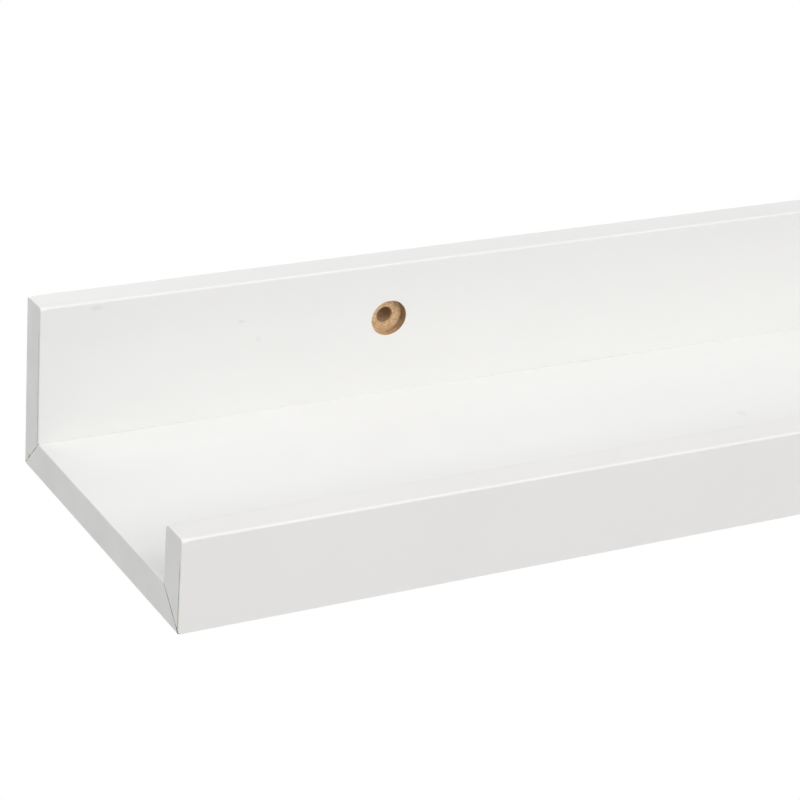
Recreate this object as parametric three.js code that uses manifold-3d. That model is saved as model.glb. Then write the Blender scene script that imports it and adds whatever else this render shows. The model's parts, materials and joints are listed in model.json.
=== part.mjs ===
// Floating wall shelf: a picture ledge of three mitred, white-faced fibreboards.
// Millimetres, +Z up. X runs along the shelf, -Y is its front, and the wall face lies at Y = 0.
// The origin is the middle of the wall face.

import * as THREE from 'three';
import { mergeVertices } from 'three/addons/utils/BufferGeometryUtils.js';
import Module from 'manifold-3d';

// Overall sizes
const LENGTH = 1067;
const DEPTH = 130;
const PANEL_HEIGHT = 62;
const LIP_HEIGHT = 32.5;
const BOARD = 12;

// Thin white bands that close the ends of the boards
const END_BAND = 0.5;

// Sanded edges along the tops of the back panel and the lip
const LIP_FRONT_EASE = 1.5;
const LIP_REAR_EASE = 0.6;
const PANEL_FRONT_EASE = 0.8;
const PANEL_REAR_EASE = 0.6;
const EASE_STEPS = 5;

// Screw holes through the back panel: a wide counterbore for the head, a bore for the shank
const SCREW_HOLES = 3;
const HOLE_FROM_END = 133.5;
const HOLE_HEIGHT = 41;
const COUNTERBORE_DIAMETER = 13;
const COUNTERBORE_DEPTH = 3.6;
const BORE_DIAMETER = 6;
const BORE_RIM_EASE = 0.5;
const HOLE_SIDES = 48;

// Glue lines in the two mitres
const GLUE_LINE = 0.1;
const GLUE_CLEARANCE = 0.1;
const GLUE_INSET = 0.6;

// Brads that pin each mitre while the glue sets
const BRADS_PER_JOINT = 7;
const BRAD_FROM_END = 60;
const BRAD_LENGTH = 20;
const BRAD_DIAMETER = 1.2;
const BRAD_HEAD_DIAMETER = 2;
const BRAD_HEAD_THICKNESS = 0.5;
const BRAD_POINT = 1.6;
const BRAD_SET_BELOW = 0.5;
const BRAD_CLEARANCE = 0.3;
const BRAD_SIDES = 12;

// How far a cutter runs past the face that it opens
const OVERRUN = 2;

// Places worked out from the sizes above, in the section seen from the end
const WALL_Y = 0;
const FRONT_Y = -DEPTH;
const PANEL_FRONT_Y = -BOARD;
const LIP_REAR_Y = FRONT_Y + BOARD;
const BOTTOM_Z = -PANEL_HEIGHT / 2;
const TOP_Z = PANEL_HEIGHT / 2;
const SHELF_TOP_Z = BOTTOM_Z + BOARD;
const LIP_TOP_Z = BOTTOM_Z + LIP_HEIGHT;
const HOLE_Z = BOTTOM_Z + HOLE_HEIGHT;
const CORE_LENGTH = LENGTH - 2 * END_BAND;

// Each mitre is open by a glue line and its clearances, half of it taken from either board
const MITRE_SHIFT = (GLUE_LINE / 2 + GLUE_CLEARANCE) * Math.SQRT2;

const wasm = await Module();
wasm.setup();

// Finishes
const whiteFace = new THREE.MeshStandardMaterial({ color: 0xefefec, roughness: 0.45, metalness: 0 });
const whiteBand = new THREE.MeshStandardMaterial({ color: 0xe6e7e3, roughness: 0.5, metalness: 0 });
const driedGlue = new THREE.MeshStandardMaterial({ color: 0xd8cca4, roughness: 0.4, metalness: 0 });
const bradSteel = new THREE.MeshStandardMaterial({ color: 0x9b9b99, roughness: 0.35, metalness: 0.9 });

// A closed geometry as a solid that can be cut
function solidFrom(geometry) {
  const bare = geometry.clone();
  bare.deleteAttribute('normal');
  bare.deleteAttribute('uv');
  const merged = mergeVertices(bare);
  const vertProperties = new Float32Array(merged.attributes.position.array);
  const triVerts = new Uint32Array(merged.index.array);
  return new wasm.Manifold(new wasm.Mesh({ numProp: 3, vertProperties, triVerts }));
}

// A cut solid as a geometry again
function geometryFrom(solid) {
  const mesh = solid.getMesh();
  const geometry = new THREE.BufferGeometry();
  geometry.setAttribute('position', new THREE.BufferAttribute(mesh.vertProperties, mesh.numProp));
  geometry.setIndex(new THREE.BufferAttribute(mesh.triVerts, 1));
  geometry.computeVertexNormals();
  return geometry;
}

// The geometry with every cutter taken away from it
function cut(geometry, cutters) {
  let solid = solidFrom(geometry);
  for (const cutter of cutters) {
    solid = solid.subtract(solidFrom(cutter));
  }
  return geometryFrom(solid);
}

// A closed section from its corners [y, z, ease]; a corner with an ease is rounded by that much
function sectionShape(corners) {
  const points = corners.map(([y, z]) => new THREE.Vector2(y, z));
  const shape = new THREE.Shape();
  corners.forEach(([, , ease = 0], i) => {
    const corner = points[i];
    const before = points[(i + points.length - 1) % points.length];
    const after = points[(i + 1) % points.length];
    const start = before.clone().sub(corner).setLength(ease).add(corner);
    const end = after.clone().sub(corner).setLength(ease).add(corner);
    if (i === 0) {
      shape.moveTo(start.x, start.y);
    } else {
      shape.lineTo(start.x, start.y);
    }
    if (ease > 0) {
      shape.quadraticCurveTo(corner.x, corner.y, end.x, end.y);
    }
  });
  shape.closePath();
  return shape;
}

// A section carried along X from one place to another
function alongX(shape, fromX, toX) {
  const options = { depth: toX - fromX, bevelEnabled: false, curveSegments: EASE_STEPS };
  const geometry = new THREE.ExtrudeGeometry(shape, options);
  const sectionToPart = new THREE.Matrix4().set(0, 0, 1, fromX, 1, 0, 0, 0, 0, 1, 0, 0, 0, 0, 0, 1);
  return geometry.applyMatrix4(sectionToPart);
}

// A turned solid about Y, from a profile of [radius, distance along Y] that starts and ends on the axis
function turned(profile, sides) {
  const points = profile.map(([radius, along]) => new THREE.Vector2(radius, along));
  return new THREE.LatheGeometry(points, sides);
}

// Sections of the three boards
function backPanelSection() {
  return sectionShape([
    [WALL_Y, BOTTOM_Z + MITRE_SHIFT],
    [WALL_Y, TOP_Z, PANEL_REAR_EASE],
    [PANEL_FRONT_Y, TOP_Z, PANEL_FRONT_EASE],
    [PANEL_FRONT_Y, SHELF_TOP_Z + MITRE_SHIFT],
  ]);
}

function shelfBoardSection() {
  return sectionShape([
    [WALL_Y - MITRE_SHIFT, BOTTOM_Z],
    [PANEL_FRONT_Y - MITRE_SHIFT, SHELF_TOP_Z],
    [LIP_REAR_Y + MITRE_SHIFT, SHELF_TOP_Z],
    [FRONT_Y + MITRE_SHIFT, BOTTOM_Z],
  ]);
}

function frontLipSection() {
  return sectionShape([
    [FRONT_Y, BOTTOM_Z + MITRE_SHIFT],
    [LIP_REAR_Y, SHELF_TOP_Z + MITRE_SHIFT],
    [LIP_REAR_Y, LIP_TOP_Z, LIP_REAR_EASE],
    [FRONT_Y, LIP_TOP_Z, LIP_FRONT_EASE],
  ]);
}

// The glue film in a mitre that runs up from an outer bottom corner; inwards is +1 or -1 along Y
function glueSection(outerY, inwards) {
  const inset = GLUE_INSET / Math.SQRT2;
  const half = GLUE_LINE / 2 / Math.SQRT2;
  const lowY = outerY + inwards * inset;
  const highY = outerY + inwards * (BOARD - inset);
  const lowZ = BOTTOM_Z + inset;
  const highZ = SHELF_TOP_Z - inset;
  return sectionShape([
    [lowY + inwards * half, lowZ - half],
    [highY + inwards * half, highZ - half],
    [highY - inwards * half, highZ + half],
    [lowY - inwards * half, lowZ + half],
  ]);
}

// Places along X that share out the length evenly, with one at the given distance from each end
function sharedOut(count, fromEnd) {
  const pitch = (LENGTH - 2 * fromEnd) / (count - 1);
  return Array.from({ length: count }, (_, i) => fromEnd - LENGTH / 2 + i * pitch);
}

// What a screw hole takes out of the back panel, from its front face to the wall
function screwHoleCutter(x) {
  const wide = COUNTERBORE_DIAMETER / 2;
  const narrow = BORE_DIAMETER / 2;
  const profile = [
    [0, -OVERRUN],
    [wide, -OVERRUN],
    [wide, COUNTERBORE_DEPTH],
    [narrow + BORE_RIM_EASE, COUNTERBORE_DEPTH],
    [narrow, COUNTERBORE_DEPTH + BORE_RIM_EASE],
    [narrow, BOARD + OVERRUN],
    [0, BOARD + OVERRUN],
  ];
  return turned(profile, HOLE_SIDES).translate(x, PANEL_FRONT_Y, HOLE_Z);
}

// A brad from its head, at zero, to its point
function bradGeometry() {
  const head = BRAD_HEAD_DIAMETER / 2;
  const shank = BRAD_DIAMETER / 2;
  const profile = [
    [0, 0],
    [head, 0],
    [head, BRAD_HEAD_THICKNESS],
    [shank, BRAD_HEAD_THICKNESS],
    [shank, BRAD_LENGTH - BRAD_POINT],
    [0, BRAD_LENGTH],
  ];
  return turned(profile, BRAD_SIDES);
}

// The hole that a brad makes, open at the face that it was driven through
function bradHoleGeometry() {
  const head = BRAD_HEAD_DIAMETER / 2 + BRAD_CLEARANCE;
  const shank = BRAD_DIAMETER / 2 + BRAD_CLEARANCE;
  const profile = [
    [0, -BRAD_SET_BELOW - OVERRUN],
    [head, -BRAD_SET_BELOW - OVERRUN],
    [head, BRAD_HEAD_THICKNESS + BRAD_CLEARANCE],
    [shank, BRAD_HEAD_THICKNESS + BRAD_CLEARANCE],
    [shank, BRAD_LENGTH + BRAD_CLEARANCE],
    [0, BRAD_LENGTH + BRAD_CLEARANCE],
  ];
  return turned(profile, BRAD_SIDES);
}

// Brads of the rear mitre go forwards from the wall face, at the middle of the shelf board
const BACK_BRAD = {
  turn: Math.PI,
  y: WALL_Y - BRAD_SET_BELOW,
  z: BOTTOM_Z + BOARD / 2,
};

// Brads of the front mitre go up from the underside, at the middle of the lip
const FRONT_BRAD = {
  turn: Math.PI / 2,
  y: FRONT_Y + BOARD / 2,
  z: BOTTOM_Z + BRAD_SET_BELOW,
};

function bradHoleCutter(x, place) {
  return bradHoleGeometry().rotateX(place.turn).translate(x, place.y, place.z);
}

const holePlaces = sharedOut(SCREW_HOLES, HOLE_FROM_END);
const bradPlaces = sharedOut(BRADS_PER_JOINT, BRAD_FROM_END);
const screwHoles = holePlaces.map(screwHoleCutter);
const backBradHoles = bradPlaces.map((x) => bradHoleCutter(x, BACK_BRAD));
const frontBradHoles = bradPlaces.map((x) => bradHoleCutter(x, FRONT_BRAD));

const shelf = new THREE.Group();
shelf.name = 'floating_wall_shelf';

function add(parent, name, geometry, material) {
  const mesh = new THREE.Mesh(geometry, material);
  mesh.name = name;
  parent.add(mesh);
  return mesh;
}

// Boards and glue lines, which run between the end bands
function addCore(name, section, cutters, material) {
  const whole = alongX(section, -CORE_LENGTH / 2, CORE_LENGTH / 2);
  add(shelf, name, cut(whole, cutters), material);
}

// One band on each end of a board, with the board's own section
function addEndBands(name, section) {
  add(shelf, `${name}_end_band_left`, alongX(section, -LENGTH / 2, -CORE_LENGTH / 2), whiteBand);
  add(shelf, `${name}_end_band_right`, alongX(section, CORE_LENGTH / 2, LENGTH / 2), whiteBand);
}

function addBrads(name, place) {
  const row = new THREE.Group();
  row.position.set(0, place.y, place.z);
  bradPlaces.forEach((x, i) => {
    const brad = add(row, `${name}_${i + 1}`, bradGeometry(), bradSteel);
    brad.position.x = x;
    brad.rotation.x = place.turn;
  });
  shelf.add(row);
}

addCore('back_panel', backPanelSection(), [...screwHoles, ...backBradHoles], whiteFace);
addCore('shelf_board', shelfBoardSection(), [...backBradHoles, ...frontBradHoles], whiteFace);
addCore('front_lip', frontLipSection(), frontBradHoles, whiteFace);
addCore('back_mitre_glue', glueSection(WALL_Y, -1), backBradHoles, driedGlue);
addCore('front_mitre_glue', glueSection(FRONT_Y, 1), frontBradHoles, driedGlue);
addEndBands('back_panel', backPanelSection());
addEndBands('shelf_board', shelfBoardSection());
addEndBands('front_lip', frontLipSection());
addBrads('back_joint_brad', BACK_BRAD);
addBrads('front_joint_brad', FRONT_BRAD);

export default shelf;
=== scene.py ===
# %% [markdown]
# # A white picture ledge, dressed in Blender
#
# The object is a floating wall shelf: a tall back panel that is screwed to the wall, a shelf board, and a
# short lip that keeps picture frames from sliding off. All three are 12 mm fibreboard, faced in satin
# white and mitred together. The CAD model gives every size and place; this script gives the same boards
# their eased edges, their screw holes with bare fibreboard inside, the hairlines at the joints, and their
# finish.

import json
import math

import bmesh
import bpy
import numpy as np
from mathutils import Matrix, Vector


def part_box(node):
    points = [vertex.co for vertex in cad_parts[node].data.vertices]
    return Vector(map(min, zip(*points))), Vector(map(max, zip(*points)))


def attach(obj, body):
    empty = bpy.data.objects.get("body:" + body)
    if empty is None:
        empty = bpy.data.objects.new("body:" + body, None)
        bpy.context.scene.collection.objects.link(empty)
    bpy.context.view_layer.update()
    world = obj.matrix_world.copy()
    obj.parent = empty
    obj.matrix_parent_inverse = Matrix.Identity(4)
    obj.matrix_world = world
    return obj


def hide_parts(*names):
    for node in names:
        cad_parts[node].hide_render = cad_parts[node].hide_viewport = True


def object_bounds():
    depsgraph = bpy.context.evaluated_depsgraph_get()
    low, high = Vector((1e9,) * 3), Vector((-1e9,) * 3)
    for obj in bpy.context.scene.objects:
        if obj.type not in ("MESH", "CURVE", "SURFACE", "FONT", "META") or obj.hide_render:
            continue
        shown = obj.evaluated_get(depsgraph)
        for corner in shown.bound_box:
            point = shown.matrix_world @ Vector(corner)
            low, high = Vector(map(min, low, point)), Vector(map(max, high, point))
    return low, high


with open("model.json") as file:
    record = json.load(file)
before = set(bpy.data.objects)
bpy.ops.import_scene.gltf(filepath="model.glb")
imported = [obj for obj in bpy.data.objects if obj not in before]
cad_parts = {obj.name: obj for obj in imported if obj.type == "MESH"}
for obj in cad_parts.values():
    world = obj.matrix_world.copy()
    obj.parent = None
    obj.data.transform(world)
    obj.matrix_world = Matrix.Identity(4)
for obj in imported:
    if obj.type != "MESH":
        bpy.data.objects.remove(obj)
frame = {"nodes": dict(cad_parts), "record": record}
cad_low, cad_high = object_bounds()
print("CAD box in metres:", [round(v, 4) for v in cad_high - cad_low])

# %% [markdown]
# ## Sizes
#
# Everything that the frame can tell is read from it, so a changed CAD model changes this dress too. Only
# the small things that the CAD model leaves out get a size of their own, in the cell that first needs
# them.

# %% Read the sizes of the boards from the frame
MM = 0.001

panel_low, panel_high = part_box("back_panel")
board_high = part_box("shelf_board")[1]
lip_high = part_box("front_lip")[1]

WALL_Y, FRONT_Y = cad_high.y, cad_low.y
BOTTOM_Z, TOP_Z = cad_low.z, cad_high.z
PANEL_FRONT_Y, LIP_REAR_Y = panel_low.y, lip_high.y
SHELF_TOP_Z, LIP_TOP_Z = board_high.z, lip_high.z
CORE_END_X, SHELF_END_X = panel_high.x, cad_high.x
BOARD = SHELF_TOP_Z - BOTTOM_Z
print("board thickness in mm:", round(BOARD / MM, 2), "band:", round((SHELF_END_X - CORE_END_X) / MM, 2))

# %% [markdown]
# ## The camera
#
# The photograph is a close look at the left end from a little above, taken with a long lens. The camera
# was placed by matching the straight edges of the three boards with their images, which fixes its
# direction, its distance and the length of its lens. It leans by a few degrees, and there is no shift.

# %% Make the camera
CAMERA_AZIMUTH = -30.189
CAMERA_ELEVATION = 23.946
CAMERA_ROLL = 4.460
CAMERA_FROM_CORNER = Vector((-0.30038, -0.64009, 0.39715))
SENSOR = 36.0
LENS = 118.08
CAMERA_SEES_FROM, CAMERA_SEES_TO = 0.05, 60


def camera_axes(azimuth, elevation, roll):
    """Right, up and back of a camera: back points from what it sees to the camera, right is level and
    square to back, up completes them, and right and up are then turned about back by the roll."""
    a, e, r = (math.radians(v) for v in (azimuth, elevation, roll))
    back = Vector((math.sin(a) * math.cos(e), -math.cos(a) * math.cos(e), math.sin(e)))
    right = Vector((0, 0, 1)).cross(back).normalized()
    up = back.cross(right)
    return right * math.cos(r) + up * math.sin(r), up * math.cos(r) - right * math.sin(r), back


def make_camera():
    data = bpy.data.cameras.new("camera")
    data.sensor_width = SENSOR
    data.lens = LENS
    data.clip_start = CAMERA_SEES_FROM
    data.clip_end = CAMERA_SEES_TO
    camera = bpy.data.objects.new("camera", data)
    bpy.context.scene.collection.objects.link(camera)
    turn = Matrix(camera_axes(CAMERA_AZIMUTH, CAMERA_ELEVATION, CAMERA_ROLL)).transposed()
    lower_left_corner = Vector((cad_low.x, FRONT_Y, BOTTOM_Z))
    camera.matrix_world = Matrix.Translation(lower_left_corner + CAMERA_FROM_CORNER) @ turn.to_4x4()
    return camera


bpy.context.scene.camera = make_camera()
print("camera stands", round(CAMERA_FROM_CORNER.length, 3), "m from the lower left corner")

# %% [markdown]
# ## Building shader trees
#
# Node trees are easier to read when each line makes one thing. These helpers make a node with its values,
# a colour mix, and a range, and hand back the socket that the next line needs.


# %% Node helpers
def node(tree, kind, **values):
    """A node with some of its own settings, and its unlinked inputs by name."""
    made = tree.nodes.new(kind)
    for key, value in values.items():
        if hasattr(made, key):
            setattr(made, key, value)
        else:
            made.inputs[key.replace("_", " ")].default_value = value
    return made


def feed(tree, socket, value):
    """Links a socket, or sets a plain value."""
    if isinstance(value, bpy.types.NodeSocket):
        tree.links.new(value, socket)
    else:
        socket.default_value = value


def mixed(tree, factor, a, b):
    """A colour that goes from a to b with the factor: a * (1 - factor) + b * factor."""
    mix = tree.nodes.new("ShaderNodeMix")
    mix.data_type = "RGBA"
    for socket, value in ((mix.inputs[0], factor), (mix.inputs[6], a), (mix.inputs[7], b)):
        feed(tree, socket, value)
    return mix.outputs[2]


def ranged(tree, value, from_low, from_high, to_low, to_high):
    """A value carried from one range to another and held at its ends."""
    made = node(
        tree, "ShaderNodeMapRange", From_Min=from_low, From_Max=from_high, To_Min=to_low, To_Max=to_high
    )
    tree.links.new(value, made.inputs["Value"])
    return made.outputs["Result"]


def math_of(tree, operation, a, b=0.0):
    """One Math node on two sockets or values."""
    made = node(tree, "ShaderNodeMath", operation=operation)
    feed(tree, made.inputs[0], a)
    feed(tree, made.inputs[1], b)
    return made.outputs[0]


def opaque(colour):
    return (*colour, 1.0)


# %% [markdown]
# ## The floor
#
# The shelf hangs in the air as on a wall, with a pale floor well below it, which takes its soft shadow
# and sends light up to its underside. The photograph has a pure white ground, so away from the shelf the
# floor shows plain white to the camera and to reflections. From below, the floor is see-through. A square
# would do as well, but a disc has no corner that could come into a wide view.

# %% Make the floor
FLOOR_DROP = 0.40
FLOOR_RADIUS = 9.0
FLOOR_RINGS = 14
FLOOR_SIDES = 96
SHADOW_NEAR = 0.03
SHADOW_FAR = 0.15
FLOOR_SEEN = 0.92
FLOOR_BOUNCE = 0.6
FLOOR_ROUGHNESS = 0.9


def link_new(name, data):
    made = bpy.data.objects.new(name, data)
    bpy.context.scene.collection.objects.link(made)
    return made


def make_floor():
    """A disc in rings: the radius goes as the square of the ring number, the angle once round."""
    angle = np.linspace(0, 2 * math.pi, FLOOR_SIDES, endpoint=False)
    radii = FLOOR_RADIUS * (np.arange(1, FLOOR_RINGS + 1) / FLOOR_RINGS) ** 2
    circle = np.stack([np.cos(angle), np.sin(angle), 0 * angle], axis=1)
    centre = np.array([0, (WALL_Y + FRONT_Y) / 2, BOTTOM_Z - FLOOR_DROP])
    points = (centre + radii[:, None, None] * circle).reshape(-1, 3)
    ring, j = np.meshgrid(np.arange(FLOOR_RINGS - 1), np.arange(FLOOR_SIDES), indexing="ij")
    here, ahead = ring * FLOOR_SIDES, (j + 1) % FLOOR_SIDES
    quads = np.stack([here + j, here + FLOOR_SIDES + j, here + FLOOR_SIDES + ahead, here + ahead], axis=-1)
    mesh = bpy.data.meshes.new("floor")
    mesh.from_pydata(points.tolist(), [], [list(range(FLOOR_SIDES))] + quads.reshape(-1, 4).tolist())
    return link_new("floor", mesh)


def make_floor_finish():
    """Distance from the shelf's footprint: the length of what x and y go beyond it. It blends the pale
    floor into plain white. The floor sends less light up to the shelf than it shows, as a darker studio
    would."""
    material = bpy.data.materials.new("pale floor")
    material.use_nodes = True
    tree = material.node_tree
    shader = tree.nodes["Principled BSDF"]
    shader.inputs["Roughness"].default_value = FLOOR_ROUGHNESS
    shader.inputs["Specular IOR Level"].default_value = 0.0
    place = node(tree, "ShaderNodeTexCoord")
    split = node(tree, "ShaderNodeSeparateXYZ")
    tree.links.new(place.outputs["Object"], split.inputs[0])
    middle_y = (WALL_Y + FRONT_Y) / 2
    over_x = math_of(tree, "SUBTRACT", math_of(tree, "ABSOLUTE", split.outputs["X"]), SHELF_END_X)
    from_middle = math_of(tree, "ABSOLUTE", math_of(tree, "SUBTRACT", split.outputs["Y"], middle_y))
    over_y = math_of(tree, "SUBTRACT", from_middle, WALL_Y - middle_y)
    beyond = node(tree, "ShaderNodeCombineXYZ")
    tree.links.new(math_of(tree, "MAXIMUM", over_x, 0.0), beyond.inputs["X"])
    tree.links.new(math_of(tree, "MAXIMUM", over_y, 0.0), beyond.inputs["Y"])
    distance = node(tree, "ShaderNodeVectorMath", operation="LENGTH")
    tree.links.new(beyond.outputs[0], distance.inputs[0])
    path = node(tree, "ShaderNodeLightPath")
    seen = math_of(tree, "MAXIMUM", path.outputs["Is Camera Ray"], path.outputs["Is Glossy Ray"])
    grey = mixed(tree, seen, opaque([FLOOR_BOUNCE] * 3), opaque([FLOOR_SEEN] * 3))
    tree.links.new(grey, shader.inputs["Base Color"])
    fade = ranged(tree, distance.outputs["Value"], SHADOW_NEAR, SHADOW_FAR, 0, 1)
    share = math_of(tree, "MULTIPLY", fade, seen)
    white = node(tree, "ShaderNodeEmission", Color=opaque((1, 1, 1)), Strength=1.0)
    clear = node(tree, "ShaderNodeBsdfTransparent")
    side = node(tree, "ShaderNodeNewGeometry")
    top = node(tree, "ShaderNodeMixShader")
    both = node(tree, "ShaderNodeMixShader")
    for socket, value in zip(top.inputs, (share, shader.outputs[0], white.outputs[0])):
        tree.links.new(value, socket)
    for socket, value in zip(both.inputs, (side.outputs["Backfacing"], top.outputs[0], clear.outputs[0])):
        tree.links.new(value, socket)
    tree.links.new(both.outputs[0], tree.nodes["Material Output"].inputs["Surface"])
    return material


floor = make_floor()
floor.data.materials.append(make_floor_finish())
print("floor lies", FLOOR_DROP, "m below the shelf")

# %% [markdown]
# ## The light
#
# The world is white where the camera, a glossy reflection or glass sees it. For soft light it is much
# dimmer, so that the boards' faces differ in tone as they do in the photograph: tops brightest, fronts a
# little less, and the left end darkest. Seven soft panels, all three metres away, do the rest. Two wide
# ones stand in front, one over the other, as one tall window would. Two more are at the left, a low one
# and a high one, and one is high behind. The right end and the back get a smaller and lower one each,
# which hardly touches what the photograph shows. One bright lamp would be simpler, but it would leave
# hard shadows and burnt-out tops.

# %% Make the world
AMBIENT = 0.2


def make_world():
    world = bpy.data.worlds.new("white studio")
    world.use_nodes = True
    bpy.context.scene.world = world
    tree = world.node_tree
    tree.nodes.clear()
    path = node(tree, "ShaderNodeLightPath")
    seen = math_of(tree, "MAXIMUM", path.outputs["Is Camera Ray"], path.outputs["Is Glossy Ray"])
    seen = math_of(tree, "MAXIMUM", seen, path.outputs["Is Transmission Ray"])
    soft = node(tree, "ShaderNodeBackground", Color=opaque((1, 1, 1)), Strength=AMBIENT)
    white = node(tree, "ShaderNodeBackground", Color=opaque((1, 1, 1)), Strength=1.0)
    blend = node(tree, "ShaderNodeMixShader")
    for socket, value in zip(blend.inputs, (seen, soft.outputs[0], white.outputs[0])):
        tree.links.new(value, socket)
    output = node(tree, "ShaderNodeOutputWorld")
    tree.links.new(blend.outputs[0], output.inputs["Surface"])


make_world()
print("the world gives", AMBIENT, "of plain white light")

# %% Make the light panels
PANEL_DISTANCE = 3.0
PANEL_SIZE = 2.0
SMALL_PANEL_SIZE = 1.0


def panel_light(name, azimuth, elevation, power, size=PANEL_SIZE):
    """A square soft light, so many degrees round from the front and so many up, turned to face the
    shelf."""
    light = bpy.data.lights.new(name, "AREA")
    light.shape = "SQUARE"
    light.size = size
    light.energy = power
    lamp = link_new(name, light)
    toward = camera_axes(azimuth, elevation, 0)[2]
    lamp.location = toward * PANEL_DISTANCE
    lamp.rotation_mode = "QUATERNION"
    lamp.rotation_quaternion = (-toward).to_track_quat("-Z", "Y")
    print(name, "has", power, "W")


panel_light("light_front", azimuth=0, elevation=38, power=37.7)
panel_light("light_front_low", azimuth=0, elevation=14, power=12.7)
panel_light("light_left_high", azimuth=-60, elevation=58, power=27.1)
panel_light("light_left", azimuth=-88, elevation=20, power=16.8)
panel_light("light_behind", azimuth=180, elevation=62, power=11.4)
panel_light("light_right", azimuth=90, elevation=6, power=21.0, size=SMALL_PANEL_SIZE)
panel_light("light_back", azimuth=180, elevation=6, power=17.0, size=SMALL_PANEL_SIZE)

# %% [markdown]
# ## Effects that several materials share
#
# Four small shader groups do most of the work. `soft mottle` shifts a colour a little over the surface,
# as paint and foil do, and hands back its mask so that the sheen can follow. `fine relief` gives a
# height, a long ripple with fine grain on it, for a Bump node. `soft spot` is the mask of one uneven
# mark, and `inner corner` the masks of the corner's painted shade and of the dirt in its seam. A copy of
# the same nodes in each material would do too, but a group is mended in one place. All four read Object
# coordinates, so they stay put on the boards.


# %% Mottle and relief
MOTTLE_CUT = (0.35, 0.7)


def new_group(name, inputs, outputs):
    group = bpy.data.node_groups.new(name, "ShaderNodeTree")
    for label, kind, default in inputs:
        socket = group.interface.new_socket(label, in_out="INPUT", socket_type=kind)
        socket.default_value = default
    for label, kind in outputs:
        group.interface.new_socket(label, in_out="OUTPUT", socket_type=kind)
    return group, group.nodes.new("NodeGroupInput"), group.nodes.new("NodeGroupOutput")


def make_mottle_group():
    """Color goes towards Tint by Amount times a mask; the mask is noise, cut to a range."""
    inputs = [
        ("Color", "NodeSocketColor", opaque((0.9, 0.9, 0.9))),
        ("Tint", "NodeSocketColor", opaque((0.8, 0.8, 0.8))),
        ("Amount", "NodeSocketFloat", 0.5),
        ("Scale", "NodeSocketFloat", 30.0),
    ]
    outputs = [("Color", "NodeSocketColor"), ("Mask", "NodeSocketFloat")]
    group, inner, outer = new_group("soft mottle", inputs, outputs)
    place = node(group, "ShaderNodeTexCoord")
    noise = node(group, "ShaderNodeTexNoise", Detail=3.0, Roughness=0.55)
    group.links.new(place.outputs["Object"], noise.inputs["Vector"])
    group.links.new(inner.outputs["Scale"], noise.inputs["Scale"])
    mask = ranged(group, noise.outputs["Fac"], *MOTTLE_CUT, 0.0, 1.0)
    amount = math_of(group, "MULTIPLY", mask, inner.outputs["Amount"])
    colour = mixed(group, amount, inner.outputs["Color"], inner.outputs["Tint"])
    group.links.new(colour, outer.inputs["Color"])
    group.links.new(mask, outer.inputs["Mask"])
    return group


def make_relief_group():
    """Height is a ripple noise mixed with a grain noise by Grain Share."""
    inputs = [
        ("Ripple Scale", "NodeSocketFloat", 60.0),
        ("Grain Scale", "NodeSocketFloat", 900.0),
        ("Grain Share", "NodeSocketFloat", 0.3),
    ]
    group, inner, outer = new_group("fine relief", inputs, [("Height", "NodeSocketFloat")])
    place = node(group, "ShaderNodeTexCoord")
    ripple = node(group, "ShaderNodeTexNoise", Detail=1.0, Roughness=0.4)
    grain = node(group, "ShaderNodeTexNoise", Detail=2.0, Roughness=0.6)
    for noise, scale in ((ripple, "Ripple Scale"), (grain, "Grain Scale")):
        group.links.new(place.outputs["Object"], noise.inputs["Vector"])
        group.links.new(inner.outputs[scale], noise.inputs["Scale"])
    both = node(group, "ShaderNodeMix", data_type="FLOAT")
    group.links.new(inner.outputs["Grain Share"], both.inputs[0])
    group.links.new(ripple.outputs["Fac"], both.inputs[2])
    group.links.new(grain.outputs["Fac"], both.inputs[3])
    group.links.new(both.outputs[0], outer.inputs["Height"])
    return group


# %% Spots
SPOT_EDGE = (1.1, 1.7)


def make_spot_group():
    """Distance is the length of the way from the Centre, counted in half widths, plus a noise that makes
    the outline uneven. Mask falls from one to nought over the edge's two distances."""
    inputs = [("Centre", "NodeSocketVector", (0, 0, 0)), ("Half", "NodeSocketVector", (MM, MM, MM))]
    group, inner, outer = new_group("soft spot", inputs, [("Mask", "NodeSocketFloat")])
    place = node(group, "ShaderNodeTexCoord")
    push = node(group, "ShaderNodeTexNoise", Scale=900.0, Detail=1.0)
    group.links.new(place.outputs["Object"], push.inputs["Vector"])
    from_centre = node(group, "ShaderNodeVectorMath", operation="SUBTRACT")
    in_halves = node(group, "ShaderNodeVectorMath", operation="DIVIDE")
    reach = node(group, "ShaderNodeVectorMath", operation="LENGTH")
    group.links.new(place.outputs["Object"], from_centre.inputs[0])
    group.links.new(inner.outputs["Centre"], from_centre.inputs[1])
    group.links.new(from_centre.outputs[0], in_halves.inputs[0])
    group.links.new(inner.outputs["Half"], in_halves.inputs[1])
    group.links.new(in_halves.outputs[0], reach.inputs[0])
    uneven = math_of(group, "ADD", reach.outputs["Value"], push.outputs["Fac"])
    group.links.new(ranged(group, uneven, *SPOT_EDGE, 1.0, 0.0), outer.inputs["Mask"])
    return group


# %% The inner corner
SEAM_START = 15 * MM
SEAM_WAVE = 200 * MM
SEAM_STRETCH = (-0.4, 0.9)
SEAM_BREAKS = (0.35, 0.6)
SEAM_LEAST = 0.4


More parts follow.
